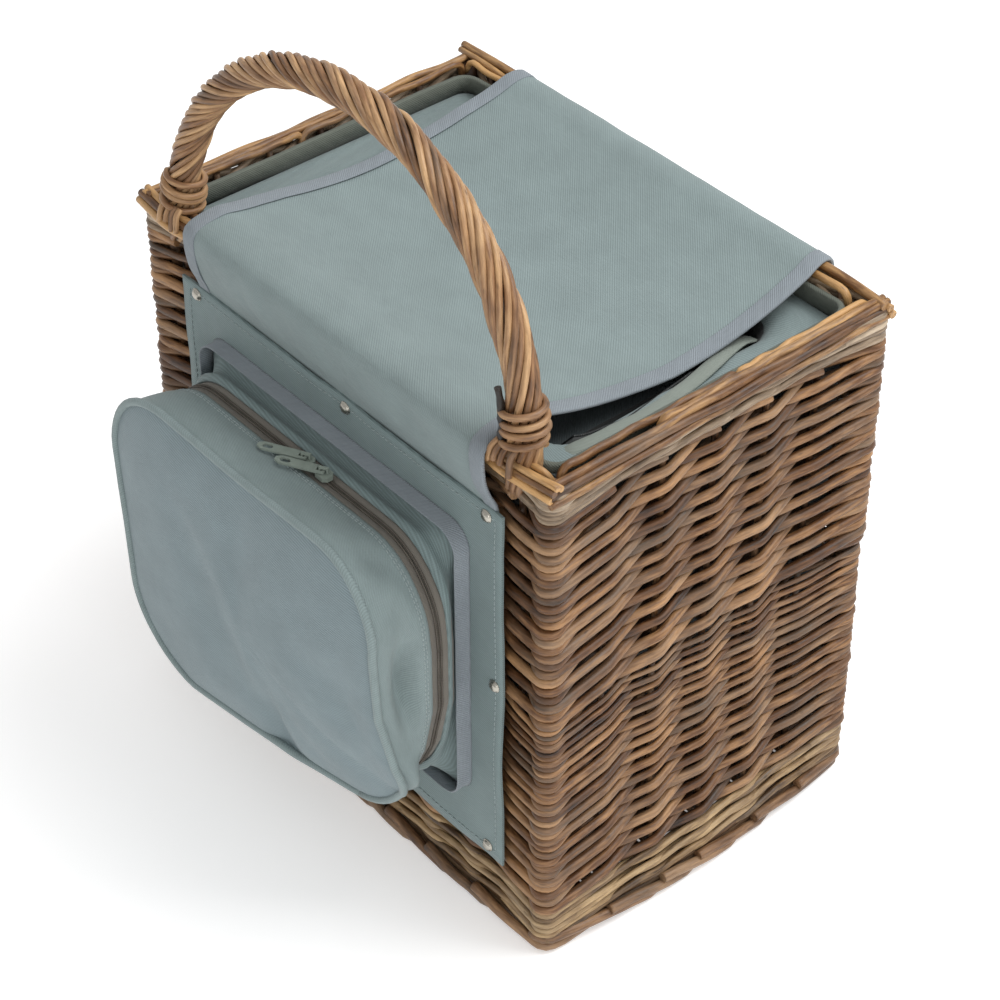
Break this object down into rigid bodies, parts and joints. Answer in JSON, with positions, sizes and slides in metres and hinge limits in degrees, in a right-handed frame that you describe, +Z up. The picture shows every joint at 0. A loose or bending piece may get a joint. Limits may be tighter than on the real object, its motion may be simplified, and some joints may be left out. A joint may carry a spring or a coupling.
{
  "type": "picnic basket",
  "caption": "Tall willow picnic basket with an arched handle, a zipped cooler inside, a fabric cover over the top and a zipped pocket on a panel riveted to the front.",
  "frame": {"origin": "on the floor under the middle of the whole part's box, pocket and cover included", "axes": "+Z up, X along the front wall, the pocket faces -Y"},
  "size_m": [0.412, 0.3682, 0.5619],
  "materials": {
    "willow": "dark steamed willow with bark, dull varnish",
    "pale_willow": "straw-coloured thin willow",
    "tan_willow": "peeled tan willow, satin varnish",
    "oxford_cloth": "coated grey-green oxford weave",
    "panel_cloth": "stiffened grey-green oxford weave",
    "twill_tape": "pale grey woven tape",
    "dark_tape": "dark olive-grey woven tape",
    "foam": "white closed-cell foam board",
    "foil_lining": "silver foil-faced film",
    "zip_tape": "brown-grey coil zip",
    "dark_zip": "dark grey coil zip",
    "nickel": "polished nickel plate",
    "painted_metal": "grey-green enamel"
  },
  "bodies": {
    "basket": {"foot_border": "tan_willow", "woven_base": "willow", "bottom_wale": "pale_willow", "stake_cage": "pale_willow", "siding_front": "willow", "siding_back": "willow", "siding_left": "willow", "siding_right": "willow", "corner_post_front_left": "willow", "corner_post_front_right": "willow", "corner_post_back_left": "willow", "corner_post_back_right": "willow", "rim_border": "tan_willow", "handle_core": "pale_willow", "handle_rods": "tan_willow", "handle_lashing_left": "tan_willow", "handle_lashing_right": "tan_willow", "cooler_outer_skin": "oxford_cloth", "foam_floor": "foam", "foam_front": "foam", "foam_back": "foam", "foam_left": "foam", "foam_right": "foam", "cooler_lining": "foil_lining", "liner_collar": "oxford_cloth", "liner_binding": "dark_tape", "collar_zip_tape": "dark_zip", "flap_tail": "oxford_cloth", "tail_binding_left": "twill_tape", "tail_binding_right": "twill_tape", "pocket_panel": "panel_cloth", "rivet_top_left": "nickel", "rivet_top_middle": "nickel", "rivet_top_right": "nickel", "rivet_left": "nickel", "rivet_right": "nickel", "rivet_bottom_left": "nickel", "rivet_bottom_middle": "nickel", "rivet_bottom_right": "nickel", "pocket_back": "oxford_cloth", "pocket_rear_gusset": "oxford_cloth", "pocket_frame_tape": "twill_tape", "pocket_zip_rear_tape": "zip_tape"},
    "flap": {"flap_cover": "oxford_cloth", "flap_binding_left": "twill_tape", "flap_binding_right": "twill_tape", "flap_hem": "twill_tape"},
    "lid": {"cooler_lid": "oxford_cloth", "lid_zip_tape": "dark_zip"},
    "lid_slider": {"lid_zip_slider": "painted_metal", "lid_zip_pull": "painted_metal"},
    "pocket_front": {"pocket_front_gusset": "oxford_cloth", "pocket_face": "oxford_cloth", "pocket_piping": "oxford_cloth", "pocket_zip_front_tape": "zip_tape"},
    "left_slider": {"pocket_left_slider": "painted_metal"},
    "left_pull": {"pocket_left_pull": "painted_metal"},
    "right_slider": {"pocket_right_slider": "painted_metal"},
    "right_pull": {"pocket_right_pull": "painted_metal"}
  },
  "joints": [
    {"name": "flap_hinge", "type": "hinge", "parent": "basket", "child": "flap", "pos_m": [0, -0.08135, 0.4035], "axis": [1, 0, 0], "range_deg": [0, 65]},
    {"name": "lid_hinge", "type": "hinge", "parent": "basket", "child": "lid", "pos_m": [0, -0.0499, 0.3589], "axis": [1, 0, 0], "range_deg": [0, 58.5]},
    {"name": "lid_slider_slide", "type": "slide", "parent": "lid", "child": "lid_slider", "axis": [0, -1, 0], "range_m": [0, 0.12]},
    {"name": "pocket_hinge", "type": "hinge", "parent": "basket", "child": "pocket_front", "pos_m": [0, -0.12885, 0.0944], "axis": [1, 0, 0], "range_deg": [0, 90]},
    {"name": "left_slider_slide", "type": "slide", "parent": "basket", "child": "left_slider", "axis": [-1, 0, 0], "range_m": [0, 0.08]},
    {"name": "left_pull_hinge", "type": "hinge", "parent": "left_slider", "child": "left_pull", "pos_m": [0.008, -0.12885, 0.3192], "axis": [-0.4695, 0.8829, 0], "range_deg": [0, 120]},
    {"name": "right_slider_slide", "type": "slide", "parent": "basket", "child": "right_slider", "axis": [1, 0, 0], "range_m": [0, 0.05]},
    {"name": "right_pull_hinge", "type": "hinge", "parent": "right_slider", "child": "right_pull", "pos_m": [0.026, -0.12885, 0.3192], "axis": [-0.4695, 0.8829, 0], "range_deg": [0, 120]}
  ],
  "couplings": [
    {"joint": "lid_hinge", "follows": "flap_hinge", "ratio": 0.9}
  ]
}
